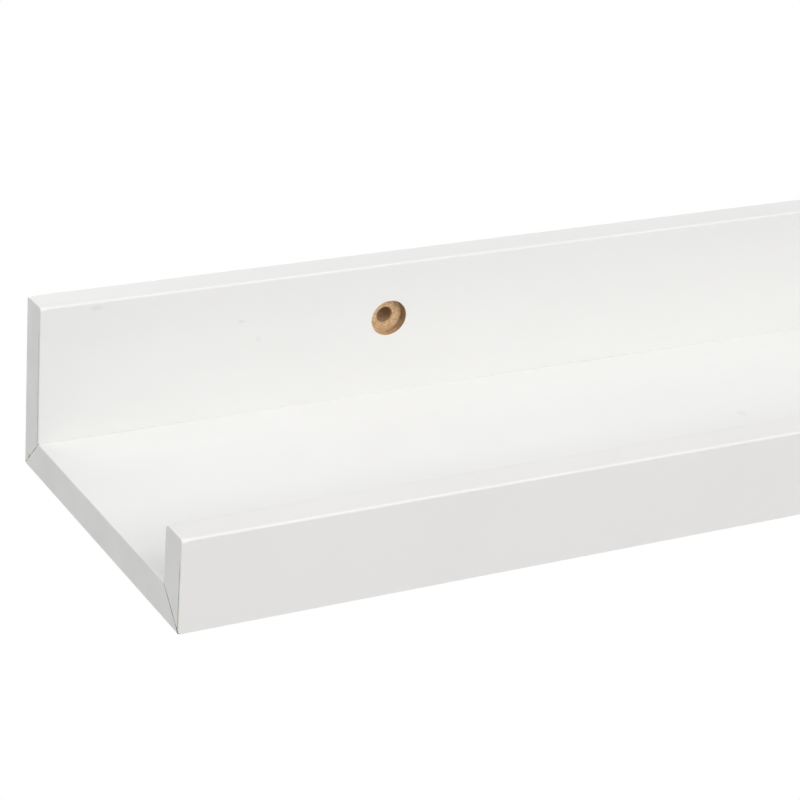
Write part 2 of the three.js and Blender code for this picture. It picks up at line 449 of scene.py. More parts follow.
def make_corner_group():
    """Distance is the square root of the squares of the ways in Y and Z from the corner between back
    panel and shelf board. Shade, painted shade in the corner, falls from one at the corner to nought at
    Reach. Line, the dirt in the seam, falls likewise over Width, times a slow wave along X that cuts it
    into stretches, times a noise that makes them uneven."""
    inputs = [("Reach", "NodeSocketFloat", 16 * MM), ("Width", "NodeSocketFloat", 0.3 * MM)]
    outputs = [("Shade", "NodeSocketFloat"), ("Line", "NodeSocketFloat")]
    group, inner, outer = new_group("inner corner", inputs, outputs)
    place = node(group, "ShaderNodeTexCoord")
    split = node(group, "ShaderNodeSeparateXYZ")
    group.links.new(place.outputs["Object"], split.inputs[0])
    y_off = math_of(group, "SUBTRACT", split.outputs["Y"], PANEL_FRONT_Y)
    z_off = math_of(group, "SUBTRACT", split.outputs["Z"], SHELF_TOP_Z)
    y_square, z_square = math_of(group, "POWER", y_off, 2.0), math_of(group, "POWER", z_off, 2.0)
    distance = math_of(group, "SQRT", math_of(group, "ADD", y_square, z_square))
    from_start = math_of(group, "ADD", split.outputs["X"], SHELF_END_X - SEAM_START)
    wave = math_of(group, "COSINE", math_of(group, "MULTIPLY", from_start, 2 * math.pi / SEAM_WAVE))
    breaks = node(group, "ShaderNodeTexNoise", noise_dimensions="1D", Scale=60.0, Detail=1.0)
    group.links.new(split.outputs["X"], breaks.inputs["W"])
    uneven = ranged(group, breaks.outputs["Fac"], *SEAM_BREAKS, SEAM_LEAST, 1.0)
    seen = math_of(group, "MULTIPLY", ranged(group, wave, *SEAM_STRETCH, 0.0, 1.0), uneven)
    for limit, label, share in (("Reach", "Shade", 1.0), ("Width", "Line", seen)):
        fall = node(group, "ShaderNodeMapRange", To_Min=1.0, To_Max=0.0)
        group.links.new(distance, fall.inputs["Value"])
        group.links.new(inner.outputs[limit], fall.inputs["From Max"])
        group.links.new(math_of(group, "MULTIPLY", fall.outputs["Result"], share), outer.inputs[label])
    return group


mottle_group = make_mottle_group()
relief_group = make_relief_group()
spot_group = make_spot_group()
corner_group = make_corner_group()
print("shader groups:", ", ".join(g.name for g in (mottle_group, relief_group, spot_group, corner_group)))


# %% Placing the groups in a material
def new_material(name):
    material = bpy.data.materials.new(name)
    material.use_nodes = True
    print("material:", name)
    return material, material.node_tree, material.node_tree.nodes["Principled BSDF"]


def mottled_colour(tree, shader, colour, tint, amount, scale, sheen):
    """Feeds the base colour, and lets roughness drift over the sheen's two values with the same mask.
    Gives the colour back, for a finish that lays more over it."""
    made = node(tree, "ShaderNodeGroup", node_tree=mottle_group)
    made.inputs["Color"].default_value = opaque(colour)
    made.inputs["Tint"].default_value = opaque(tint)
    made.inputs["Amount"].default_value = amount
    made.inputs["Scale"].default_value = scale
    tree.links.new(made.outputs["Color"], shader.inputs["Base Color"])
    tree.links.new(ranged(tree, made.outputs["Mask"], 0, 1, *sheen), shader.inputs["Roughness"])
    return made.outputs["Color"]


def relief(tree, shader, ripple, grain, share, strength, distance):
    """Feeds the normal from the fine relief, raised by the distance at full strength."""
    made = node(tree, "ShaderNodeGroup", node_tree=relief_group)
    made.inputs["Ripple Scale"].default_value = ripple
    made.inputs["Grain Scale"].default_value = grain
    made.inputs["Grain Share"].default_value = share
    bump = node(tree, "ShaderNodeBump", Strength=strength, Distance=distance)
    tree.links.new(made.outputs["Height"], bump.inputs["Height"])
    tree.links.new(bump.outputs["Normal"], shader.inputs["Normal"])


# %% [markdown]
# ## The white finishes
#
# The boards are faced in a smooth satin white, a touch warm. The shelf board's white is painted a
# little brighter and the lip's a little warmer, as painted light; the boards themselves share one white.
# Up close it isn't quite even: the tone drifts by about one part in a hundred, and the surface has the
# faint ripple of a facing pressed on fibreboard. The strips on the board ends are the same white, a shade
# greyer and cooler, and scraped flush by hand, so their grain is coarser and their sheen lower.
#
# Handling has left marks: a few pale grey scuffs on the panel and the shelf, a smear of glue and a bare
# spot at the joints of the left end, and a broken line of dirt in the seam of the inner corner. The
# inner corner itself is painted greyer, as painted shade.
# They could be drawn in a picture, but a mask worked out from the place has no picture to lose its
# sharpness.

# %% Colours and places of the white finishes
WHITE = (0.862, 0.860, 0.848)
# Painted light: the shelf board's white is brighter, and the lip's warmer, than the one white of the boards.
SHELF_WHITE_PAINTED_BRIGHTER = (0.875, 0.873, 0.860)
LIP_WHITE_PAINTED_WARMER = (0.863, 0.852, 0.841)
MOTTLE_SHARE = 0.978
# The inner corner's painted shade and the dirt in its seam share this grey.
CORNER_SHADE_AND_DIRT_GREY = (0.62, 0.62, 0.60)
PAINTED_SHADE_REACH = 16 * MM
SEAM_WIDTH = 0.45 * MM
SEAM_AMOUNT = 0.22
BAND = (0.848, 0.854, 0.832)
BAND_TINT = (0.815, 0.818, 0.806)
GLUE_SMEAR = (0.92, 0.89, 0.74)
BARE_FLAKE = (0.86, 0.60, 0.54)
SCUFF, FAINT_SCUFF = (0.79, 0.79, 0.80), (0.825, 0.825, 0.815)


def spot(place, half, colour):
    """A mark's place from the left end's lower corner at the wall, its half widths, all in mm, and its
    colour."""
    corner = Vector((-SHELF_END_X, WALL_Y, BOTTOM_Z))
    return corner + Vector(place) * MM, tuple(width * MM for width in half), colour


PANEL_FRONT, LIP_FRONT = (PANEL_FRONT_Y - WALL_Y) / MM, (FRONT_Y - WALL_Y) / MM
SHELF_TOP = (SHELF_TOP_Z - BOTTOM_Z) / MM
JOINT_SPOTS = [
    spot((0, -6.6, 6.0), (1, 1.6, 1.0), GLUE_SMEAR),
    spot((0, -3.6, 4.2), (1, 1.3, 0.7), BARE_FLAKE),
    spot((0, LIP_FRONT + 2.0, 3.6), (1, 1.0, 2.4), GLUE_SMEAR),
]
SCUFFS = [
    spot((20.0, PANEL_FRONT, 59.6), (2.6, 1, 0.9), SCUFF),
    spot((74.8, PANEL_FRONT, 47.5), (1.2, 1, 0.7), SCUFF),
    spot((81.5, PANEL_FRONT, 40.0), (1.2, 1, 1.2), FAINT_SCUFF),
    spot((64.1, -13.4, SHELF_TOP), (2.6, 1.4, 1), FAINT_SCUFF),
    spot((250.0, -73.0, SHELF_TOP), (2.0, 2.4, 1), FAINT_SCUFF),
]


# %% Make the white facing and the band finish
def with_spots(tree, colour, spots):
    """The colour, mixed with another one by each spot's mask in turn."""
    for centre, half, stain in spots:
        mask = node(tree, "ShaderNodeGroup", node_tree=spot_group)
        mask.inputs["Centre"].default_value = centre
        mask.inputs["Half"].default_value = half
        colour = mixed(tree, mask.outputs["Mask"], colour, opaque(stain))
    return colour


def make_white_facing(name, white, painted_shade_amount):
    material, tree, shader = new_material(name)
    tint = [channel * MOTTLE_SHARE for channel in white]
    colour = mottled_colour(tree, shader, white, tint, amount=0.6, scale=22.0, sheen=(0.42, 0.5))
    corner = node(tree, "ShaderNodeGroup", node_tree=corner_group)
    corner.inputs["Reach"].default_value = PAINTED_SHADE_REACH
    corner.inputs["Width"].default_value = SEAM_WIDTH
    # Painted shade: the inner corner is greyed by the group's Shade mask, most on the shelf board.
    shade = math_of(tree, "MULTIPLY", corner.outputs["Shade"], painted_shade_amount)
    colour = mixed(tree, shade, colour, opaque(CORNER_SHADE_AND_DIRT_GREY))
    line = math_of(tree, "MULTIPLY", corner.outputs["Line"], SEAM_AMOUNT)
    colour = mixed(tree, line, colour, opaque(CORNER_SHADE_AND_DIRT_GREY))
    tree.links.new(with_spots(tree, colour, SCUFFS), shader.inputs["Base Color"])
    relief(tree, shader, ripple=160.0, grain=1800.0, share=0.35, strength=0.12, distance=0.3 * MM)
    return material


def make_band_finish():
    material, tree, shader = new_material("scraped white band")
    colour = mottled_colour(tree, shader, BAND, BAND_TINT, amount=0.8, scale=70.0, sheen=(0.46, 0.58))
    tree.links.new(with_spots(tree, colour, JOINT_SPOTS), shader.inputs["Base Color"])
    relief(tree, shader, ripple=220.0, grain=2600.0, share=0.5, strength=0.16, distance=0.2 * MM)
    return material


white_facing = make_white_facing("satin white facing", WHITE, painted_shade_amount=0.05)
# Painted light: the shelf board's and the lip's facings are brighter and warmer copies of the one white.
shelf_facing = make_white_facing("satin white facing of the shelf board", SHELF_WHITE_PAINTED_BRIGHTER, painted_shade_amount=0.15)
lip_facing = make_white_facing("satin white facing of the lip", LIP_WHITE_PAINTED_WARMER, painted_shade_amount=0.05)
band_finish = make_band_finish()

# %% [markdown]
# ## Bare fibreboard
#
# Inside the screw holes the fibreboard is bare. Fibreboard is felted wood: tan, with short darker and
# paler fibres and no grain. A drill burnishes it, more on the walls than on the floor, and leaves rings
# on the floor. The same darkening also carries painted shade: the hole's right wall and the top of the
# bore are painted darker and the bottom of the bore lighter, and the brad holes darker as they go down.
# Noise alone would make the felt but wouldn't know where the drill went, so the mesh carries two marks,
# `burnish` and `from_axis`, which the material reads as attributes.

# %% Make the bare fibreboard
FIBRE_TAN = (0.64, 0.405, 0.20)
FIBRE_PALE = (0.88, 0.66, 0.42)
FIBRE_DARK = (0.40, 0.19, 0.065)
# Burnishing and painted shade in the holes both darken towards this colour.
FIBRE_BURNT_AND_SHADED = (0.11, 0.055, 0.022)
FIBRE_ROUGHNESS = (0.9, 0.62)
FELT_CUT = (0.38, 0.62)
FLECK_EDGE, FLECK_AMOUNT = (0.12, 0.3), 0.55
PATCH_CUT, PATCH_AMOUNT = (0.50, 0.70), 0.4
RING_PITCH, RING_AMOUNT = 0.9 * MM, 0.3


def make_bare_fibreboard():
    material, tree, shader = new_material("bare fibreboard")
    place = node(tree, "ShaderNodeTexCoord")
    burnish = node(tree, "ShaderNodeAttribute", attribute_name="burnish")
    radius = node(tree, "ShaderNodeAttribute", attribute_name="from_axis")
    fibres = node(tree, "ShaderNodeTexNoise", Scale=900.0, Detail=4.0, Roughness=0.7, Distortion=1.5)
    flecks = node(tree, "ShaderNodeTexVoronoi", Scale=1100.0)
    patches = node(tree, "ShaderNodeTexNoise", Scale=520.0, Detail=2.0)
    for texture in (fibres, flecks, patches):
        tree.links.new(place.outputs["Object"], texture.inputs["Vector"])
    felt = ranged(tree, fibres.outputs["Fac"], *FELT_CUT, 0, 1)
    base = mixed(tree, felt, opaque(FIBRE_TAN), opaque(FIBRE_PALE))
    dark_fleck = ranged(tree, flecks.outputs["Distance"], *FLECK_EDGE, FLECK_AMOUNT, 0.0)
    base = mixed(tree, dark_fleck, base, opaque(FIBRE_DARK))
    dark_patch = ranged(tree, patches.outputs["Fac"], *PATCH_CUT, 0.0, PATCH_AMOUNT)
    base = mixed(tree, dark_patch, base, opaque(FIBRE_DARK))
    wave = math_of(tree, "SINE", math_of(tree, "MULTIPLY", radius.outputs["Fac"], 2 * math.pi / RING_PITCH))
    base = mixed(tree, ranged(tree, wave, 0.0, 1.0, 0.0, RING_AMOUNT), base, opaque(FIBRE_DARK))
    colour = mixed(tree, burnish.outputs["Fac"], base, opaque(FIBRE_BURNT_AND_SHADED))
    tree.links.new(colour, shader.inputs["Base Color"])
    tree.links.new(ranged(tree, burnish.outputs["Fac"], 0, 1, *FIBRE_ROUGHNESS), shader.inputs["Roughness"])
    relief(tree, shader, ripple=700.0, grain=2400.0, share=0.5, strength=0.7, distance=0.4 * MM)
    return material


bare_fibreboard = make_bare_fibreboard()

# %% [markdown]
# ## The sawn ends under the bands
#
# The ends of the boards are sized with glue before the bands go on, so where a chip or a gaping joint
# shows them they are paler than the drilled holes: a pinkish cream, with tan showing through in places.
# The finish of the holes could serve here too, but its drill marks would be wrong on a sawn end.

# %% Make the glue-sized ends
SIZED_CREAM = (0.86, 0.66, 0.58)
SIZED_TAN = (0.66, 0.44, 0.34)


def make_sized_end():
    material, tree, shader = new_material("glue-sized end")
    mottled_colour(tree, shader, SIZED_CREAM, SIZED_TAN, amount=0.9, scale=420.0, sheen=(0.5, 0.85))
    relief(tree, shader, ripple=800.0, grain=3000.0, share=0.5, strength=0.5, distance=0.3 * MM)
    return material


sized_end = make_sized_end()

# %% [markdown]
# ## Sections
#
# Each board is one section carried along X. The section is a closed line of points in Y and Z, with its
# sanded edges as small arcs, which get larger close to the board ends, where hands and sandpaper go over
# the corner. It could be a cube with a Bevel modifier, but then the joint faces and the holes would have
# to be cut; as a grid of section points times places along X, it takes them without a cut.

# %% Helpers for sections
EASE_STEPS = 10
FLAT_SUPPORT = 0.15 * MM
END_WORN = 0.8
END_WORN_REACH = 1.6 * MM
LEFT_WEAR, RIGHT_WEAR = 1.0, 0.25
HAIR = 1e-7


def eased_section(corners):
    """A closed line through corners (y, z, ease). With u and v the directions to the corner's neighbours,
    an eased corner is corner + ease * (u * (1 - sin t) + v * (1 - cos t)) for t from nought to a right
    angle: a quarter circle, sheared where the corner isn't square. A point on each flat, just past the
    arc, keeps the shading of the flat even."""
    points = np.array([c[:2] for c in corners])
    t = np.linspace(0, math.pi / 2, EASE_STEPS + 1)[:, None]
    parts = []
    for i, (_, _, ease) in enumerate(corners):
        u = points[i - 1] - points[i]
        v = points[(i + 1) % len(points)] - points[i]
        u, v = u / np.linalg.norm(u), v / np.linalg.norm(v)
        past = ease + min(ease, FLAT_SUPPORT)
        arc = ease * (u * (1 - np.sin(t)) + v * (1 - np.cos(t)))
        offsets = np.vstack([u * past, arc, v * past]) if ease else np.zeros((1, 2))
        parts.append(points[i] + offsets)
    return np.concatenate(parts)


def hump(t, place, width):
    """A smooth hump of height one at a place: exp of minus the squared distance in widths."""
    return np.exp(-(((t - place) / width) ** 2))


def worn_sections(corners, places):
    """One section for each place along X. Each ease is times one plus END_WORN times the wear of the
    nearest end, in a hump at that end."""
    left = LEFT_WEAR * hump(places, -CORE_END_X, END_WORN_REACH)
    right = RIGHT_WEAR * hump(places, CORE_END_X, END_WORN_REACH)
    growth = 1 + END_WORN * (left + right)
    return [eased_section([(y, z, ease * g) for y, z, ease in corners]) for g in growth]


def with_rows(section, axis, places, plane):
    """The same closed line with points added at the given places of one coordinate, on the longest
    straight stretch in the plane. Places are turned into lengths along the line, and those are sorted."""
    closed = np.vstack([section, section[:1]])
    steps = np.linalg.norm(np.diff(closed, axis=0), axis=1)
    along = np.concatenate([[0], np.cumsum(steps)])
    flat = np.abs(closed[:-1, 1 - axis] - plane) + np.abs(closed[1:, 1 - axis] - plane) < HAIR
    k = np.flatnonzero(flat)[np.argmax(steps[flat])]
    start, end = closed[k, axis], closed[k + 1, axis]
    added = along[k] + steps[k] * (np.asarray(places) - start) / (end - start)
    every = np.unique(np.round(np.concatenate([along[:-1], added]), 9))
    return np.stack([np.interp(every, along, closed[:, c]) for c in (0, 1)], axis=1)


# %% [markdown]
# ## From points to a closed mesh
#
# A mesh is filled from whole arrays: point places, the point numbers of all faces one after the other,
# and where each face starts. That is far quicker than adding faces one by one. Afterwards the faces are
# turned to point out, and edges sharper than 30 degrees are marked, so that arcs shade round and corners
# stay crisp.

# %% Fill a mesh from arrays
SHARP_ANGLE = math.radians(30)


def turn_faces_out(mesh):
    """Makes the faces agree, then turns all of them round if the volume that they enclose is below
    nought."""
    work = bmesh.new()
    work.from_mesh(mesh)
    bmesh.ops.recalc_face_normals(work, faces=work.faces)
    if work.calc_volume(signed=True) < 0:
        bmesh.ops.reverse_faces(work, faces=work.faces)
    work.to_mesh(mesh)
    work.free()


def closed_mesh(name, points, groups, materials, marks=None):
    """groups holds pairs: an array of faces, with a row of point numbers for each face, and their
    material's number. Points that no face uses are dropped. marks holds two values for each point."""
    used, corners = np.unique(np.concatenate([faces.ravel() for faces, _ in groups]), return_inverse=True)
    sides = np.concatenate([np.full(len(faces), faces.shape[1]) for faces, _ in groups])
    finish = np.concatenate([np.full(len(faces), number) for faces, number in groups])
    mesh = bpy.data.meshes.new(name)
    mesh.vertices.add(len(used))
    mesh.vertices.foreach_set("co", points[used].astype(np.float32).ravel())
    mesh.loops.add(len(corners))
    mesh.loops.foreach_set("vertex_index", corners.astype(np.int32).ravel())
    mesh.polygons.add(len(sides))
    mesh.polygons.foreach_set("loop_start", (np.cumsum(sides) - sides).astype(np.int32))
    for material in materials:
        mesh.materials.append(material)
    mesh.polygons.foreach_set("material_index", finish.astype(np.int32))
    for column, label in enumerate(("burnish", "from_axis") if marks is not None else ()):
        layer = mesh.attributes.new(label, "FLOAT", "POINT")
        layer.data.foreach_set("value", marks[used, column].astype(np.float32))
    mesh.update(calc_edges=True)
    turn_faces_out(mesh)
    mesh.shade_smooth()
    mesh.set_sharp_from_angle(angle=SHARP_ANGLE)
    return link_new(name, mesh)


def dress(piece, slot, *nodes):
    """Says what a piece rides on and which CAD nodes it stands for. slot, the name of its finish, is not
    used.
    """
    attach(piece, "root")
    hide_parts(*nodes)
    print(piece.name, "has", len(piece.data.polygons), "faces")


# %% [markdown]
# ## Holes let into a grid
#
# A drilled hole is a round thing in a square grid. Where it comes, a small rectangle of the grid is taken
# out, and rings of points lead from the rectangle's border to the round mouth and on down the hole. Each
# ring has one point for each point of the border, at the same angle, so the faces are four-sided and the
# mesh stays closed. A boolean cut would be quicker to write, but it leaves long thin faces that shade
# badly.


# %% A board as a grid that can take holes
FACED, BARE, SIZED = 0, 1, 2


class Grid:
    """Points and faces of one board while it is put together. Point i * n + j is section point j, carried
    to place i along X, where n is the number of section points. There is one section, or one for each
    place."""

    def __init__(self, section, places):
        n, m = np.shape(section)[-2], len(places)
        sections = np.broadcast_to(section, (m, n, 2))
        self.grid_points = np.column_stack([np.repeat(places, n), sections.reshape(-1, 2)])
        self.points = [self.grid_points]
        self.marks = [np.zeros((n * m, 2))]
        i, j = np.meshgrid(np.arange(m - 1), np.arange(n), indexing="ij")
        ahead = (j + 1) % n
        quads = np.stack([i * n + j, (i + 1) * n + j, (i + 1) * n + ahead, i * n + ahead], axis=-1)
        self.quads = quads.reshape(-1, 4)
        self.ends = np.stack([np.arange(n)[::-1], np.arange(n) + (m - 1) * n])
        self.rings = []

    def open_window(self, centre, half, axis):
        """Takes out the faces of the flat side within half of the centre. Gives the border's point
        numbers in order of their angle, how far each lies from the centre, and the angles."""
        across = [a for a in range(3) if a != axis]
        corners = self.grid_points[self.quads]
        on_side = np.abs(corners[:, :, axis] - centre[axis]).max(axis=1) < HAIR
        near = np.abs(corners.mean(axis=1) - centre)[:, across].max(axis=1) < half
        taken, self.quads = self.quads[on_side & near], self.quads[~(on_side & near)]
        border = np.intersect1d(taken, self.quads)
        away = self.grid_points[border] - centre
        away[:, axis] = 0
        angle = np.arctan2(away[:, across[1]], away[:, across[0]])
        order = np.argsort(angle)
        return border[order], away[order], angle[order]

    def add_ring(self, positions, marks):
        start = sum(len(p) for p in self.points)
        self.points.append(positions)
        self.marks.append(np.column_stack([np.broadcast_to(m, len(positions)) for m in marks]))
        return start + np.arange(len(positions))

    def join(self, ring, next_ring, material):
        """Quads between two rings of equal number. Gives the next ring back."""
        quads = np.stack([ring, np.roll(ring, -1), np.roll(next_ring, -1), next_ring], axis=1)
        self.rings.append((quads, material))
        return next_ring

    def mesh(self, name, materials):
        groups = [(self.quads, FACED), (self.ends, SIZED)] + self.rings
        return closed_mesh(name, np.concatenate(self.points), groups, materials, np.concatenate(self.marks))


# %% Let a hole into a grid
FACING = 0.3 * MM
WINDOW_SHARES = (0.4, 0.75)


def let_in(grid, centre, half, inward, profile, far_plane=None):
    """The profile gives rows of (radius, depth, darkening) for the border's angles, the darkening being the
    drill's burnishing and painted shade. Ring k lies at the centre plus the unit spokes times its radius
    plus the inward direction times its depth. The hole ends in a like window on the far plane, or in a
    closed floor."""
    axis = int(np.argmax(np.abs(inward)))
    ring, away, angle = grid.open_window(centre, half, axis)
    spokes = away / np.linalg.norm(away, axis=1)[:, None]
    rows = profile(angle)
    mouth = centre + spokes * np.reshape(rows[0][0], (-1, 1))
    for share in WINDOW_SHARES:
        between = (centre + away) * (1 - share) + mouth * share
        ring = grid.join(ring, grid.add_ring(between, (0, 0)), FACED)
    for radius, depth, burnish in rows:
        positions = centre + spokes * np.reshape(radius, (-1, 1)) + inward * np.reshape(depth, (-1, 1))
        new_ring = grid.add_ring(positions, (burnish, radius))
        ring = grid.join(ring, new_ring, BARE if np.max(depth) > FACING else FACED)
    if far_plane is None:
        middle = grid.add_ring((centre + inward * rows[-1][1])[None], (rows[-1][2], 0))
        fan = np.stack([ring, np.roll(ring, -1), np.full(len(ring), middle[0])], axis=1)
        grid.rings.append((fan, BARE))
    else:
        opposite = np.where(np.arange(3) == axis, far_plane, centre)
        grid.join(ring, grid.open_window(opposite, half, axis)[0], FACED)


# %% [markdown]
# ## The screw holes
#
# They are the one spot of colour on the object. The counterbore for the screw's head is wide and shallow,
# with a flat floor. Its mouth is a little wider than it is tall and not quite even, because the facing
# frays as the drill comes in. The bore through the middle has a softened rim. A turned profile would make
# a perfect round, so here each row of the profile may differ from angle to angle. The record's openings
# and seats say where the holes are and how deep the floor lies.

# %% Read the places of the screw holes
openings = {o["name"]: np.array(o["box_m"]) for o in frame["record"]["physics"]["openings"]}
seats = {m["name"]: np.array(m["pos_m"]) for m in frame["record"]["mounts"]}
counterbore_names = [name for name in openings if name.startswith("counterbore")]
counterbores = np.array([openings[name].mean(axis=0) for name in counterbore_names])
screw_places = np.sort(counterbores[:, 0])
HOLE_Z = counterbores[:, 2].mean()
COUNTERBORE_DEPTH = seats["screw_seat_left"][1] - PANEL_FRONT_Y
print("screw holes at", np.round(screw_places, 3), "and z", round(HOLE_Z, 4))
print("their counterbores are", round(COUNTERBORE_DEPTH / MM, 2), "mm deep")

# %% The mouth and the wall of a screw hole
COUNTERBORE_RADIUS = 6.8 * MM
MOUTH_ROLL = 0.35 * MM
MOUTH_STRETCH = 0.2 * MM
MOUTH_FRAY = 0.05 * MM
FRAY_TURNS = np.array([3, 5, 9, 14, 23])
ROLL_STEPS = 5
ROLL_TURNS = np.linspace(0, math.pi / 2, ROLL_STEPS + 1)
BARE_FROM, WALL_FROM, WALL_STOPS_ABOVE = 0.05 * MM, 0.5 * MM, 0.25 * MM
WALL_ROWS = 6
WALL_BURNISH = 0.27
# Painted shade: the swing darkens the hole's right wall more than the others.
WALL_SHADE_SWING = 0.45
SHADED_SIDE = math.radians(6)
MOUTH_BURNISH = 1.2


def wall_burnish_and_shade(angle):
    """A mean for the drill's burnishing plus painted shade: a swing times the cosine of the angle from the
    most shaded side, the right, held within nought and one."""
    return np.clip(WALL_BURNISH + WALL_SHADE_SWING * np.cos(angle - SHADED_SIDE), 0, 1)


def mouth_and_wall(angle, wall, edge):
    """The facing rolls in over a quarter circle, to its own thickness, and below it the wall goes
    straight down through the bare board."""
    burnt = wall_burnish_and_shade(angle)
    rows = [
        (wall + edge / 2 + MOUTH_ROLL * (1 - math.sin(t)), FACING * (1 - math.cos(t)), 0) for t in ROLL_TURNS
    ]
    depths = np.linspace(FACING + WALL_FROM, COUNTERBORE_DEPTH - WALL_STOPS_ABOVE, WALL_ROWS)
    rows += [(wall, FACING + BARE_FROM, MOUTH_BURNISH * burnt)]
    return rows + [(wall, depth, burnt) for depth in depths]


# %% The seat and the bore of a screw hole
SEAT_CORNER = [(0.08 * MM, 0.08 * MM, 1.0), (0.25 * MM, 0.0, 0.5), (0.8 * MM, 0.0, 0.1)]
SEAT_CLEAN_FROM = 1.4 * MM
SEAT_ROWS = 5
BORE_RADIUS = 3 * MM
BORE_RIM_EASE = 0.6 * MM
BORE_RIM_WORN = 0.7
RIM_BURNISH = 0.15
BORE_BURNISH_AND_SHADE = 0.4
BORE_WALL_FROM = 1.4 * MM
BORE_ROWS = 8


def seat_and_bore(angle, wall):
    """The wall's foot turns in through three rows whose darkening falls off, the flat seat runs to the
    bore's rim, a quarter circle whose radius is larger below than above, and the bore goes through to the
    wall face. Down the bore, painted shade makes the walls darker above than below."""
    seat, burnt = COUNTERBORE_DEPTH, wall_burnish_and_shade(angle)
    rows = [(wall - inwards, seat - above, share * burnt) for inwards, above, share in SEAT_CORNER]
    ease = BORE_RIM_EASE * (1 - BORE_RIM_WORN * np.sin(angle))
    flat = np.linspace(COUNTERBORE_RADIUS - SEAT_CLEAN_FROM, BORE_RADIUS + ease, SEAT_ROWS + 1)
    rows += [(radius, seat, 0.0) for radius in flat[:-1]]
    rows += [
        (BORE_RADIUS + ease * (1 - math.sin(t)), seat + ease * (1 - math.cos(t)), RIM_BURNISH * t)
        for t in ROLL_TURNS
    ]
    # Painted shade: the bore's walls are darker above and lighter below.
    deep = BORE_BURNISH_AND_SHADE * (1 + np.sin(angle) / 2)
    depths = np.linspace(seat + BORE_WALL_FROM, BOARD, BORE_ROWS)
    return rows + [(BORE_RADIUS, depth, deep) for depth in depths]


def screw_hole_profile(seed):
    """The mouth's radius is the counterbore's plus a stretch times the cosine of twice the angle, plus a
    fray: a sum of sines of whole turns. The wall below keeps half of that unevenness."""
    phase = np.random.default_rng(seed).uniform(0, 2 * math.pi, (len(FRAY_TURNS), 1))

    def profile(angle):
        fray = (np.sin(FRAY_TURNS[:, None] * angle + phase) / np.sqrt(FRAY_TURNS)[:, None]).sum(axis=0)
        edge = MOUTH_STRETCH * np.cos(2 * angle) + MOUTH_FRAY * fray
        wall = COUNTERBORE_RADIUS + edge / 2
        return mouth_and_wall(angle, wall, edge) + seat_and_bore(angle, wall)

    return profile


# %% [markdown]
# Seven brads pin each mitre: those of the rear mitre were driven through the wall face, those of the
# front mitre through the underside. Their CAD nodes say where they are, and each sits a little below the
# surface.


# %% Read the places of the brads
def brad_centres(row):
    names = sorted(n for n in frame["nodes"] if n.startswith(f"{row}_joint_brad_"))
    return names, np.array([(low + high) / 2 for low, high in (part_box(n) for n in names)])


back_brads, back_centres = brad_centres("back")
front_brads, front_centres = brad_centres("front")
brad_low, brad_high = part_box(back_brads[0])
BRAD_RADIUS = (brad_high.x - brad_low.x) / 2
BRAD_LENGTH = brad_high.y - brad_low.y
BRAD_SET_BELOW = WALL_Y - brad_high.y
BRAD_MOUTH = BRAD_RADIUS + 0.3 * MM
BRAD_SHANK_HOLE = BRAD_RADIUS - 0.1 * MM
BRAD_SHOULDER = BRAD_SET_BELOW + 0.8 * MM
BRAD_HOLE_DEPTH = 5 * MM


def brad_hole_profile(angle):
    """A short wide step round the head, then a narrow hole that the shank fills; painted shade darkens the
    hole more as it goes down. It is the same at every angle."""
    step = [(0.0, 0.2), (FACING, 0.2), (FACING + BARE_FROM, 0.4), (BRAD_SHOULDER, 0.5)]
    narrow = [(BRAD_SHOULDER, 0.5), (BRAD_HOLE_DEPTH, 0.8)]
    return [(BRAD_MOUTH, *row) for row in step] + [(BRAD_SHANK_HOLE, *row) for row in narrow]


print(len(back_brads) + len(front_brads), "brads, set", round(BRAD_SET_BELOW / MM, 2), "mm below")

# %% [markdown]
# ## The back panel
#
# Its section gets extra rows at the height of the holes, and its places along X get extra lines round
# each hole and close to both ends, where the sanded edges get rounder. The mitre ends a hair short of the
# joint's middle, so the joint stays open by less than two hundredths of a millimetre and shows as a faint
# line. A closed joint would show nothing at all, and the photograph does show one.

# %% Sizes of the board grids
PANEL_FRONT_EASE = 0.8 * MM
PANEL_REAR_EASE = 0.6 * MM
MITRE_TIP_EASE = 0.08 * MM
MITRE_GAP = 0.008 * MM
SCREW_WINDOW = 9 * MM
SCREW_WINDOW_STEPS = 24
BRAD_WINDOW = 2.4 * MM
BRAD_WINDOW_STEPS = 6
LONG_STEPS = 40
END_STEPS = 12
END_REACHES = 3
TWIN = 0.02 * MM
BACKWARDS, FORWARDS, UPWARDS = np.array([0, 1.0, 0]), np.array([0, -1.0, 0]), np.array([0, 0, 1.0])
FIRST_HOLE_SEED = 11


def window_lines(centres, half, steps):
    """Evenly spaced lines across each window, all windows in one array."""
    return (np.reshape(centres, (-1, 1)) + np.linspace(-half, half, steps + 1)).ravel()


def places_along(*sets):
    """Places along X: even steps and everything in the sets, sorted, with near twins left out."""
    every = np.sort(np.concatenate([np.linspace(-CORE_END_X, CORE_END_X, LONG_STEPS + 1), *sets]))
    return every[np.concatenate([[True], np.diff(every) > TWIN])]


def end_lines():
    """Close lines near both ends, where the edges get rounder."""
    inwards = np.linspace(0, END_REACHES * END_WORN_REACH, END_STEPS + 1)
    return np.concatenate([inwards - CORE_END_X, CORE_END_X - inwards])


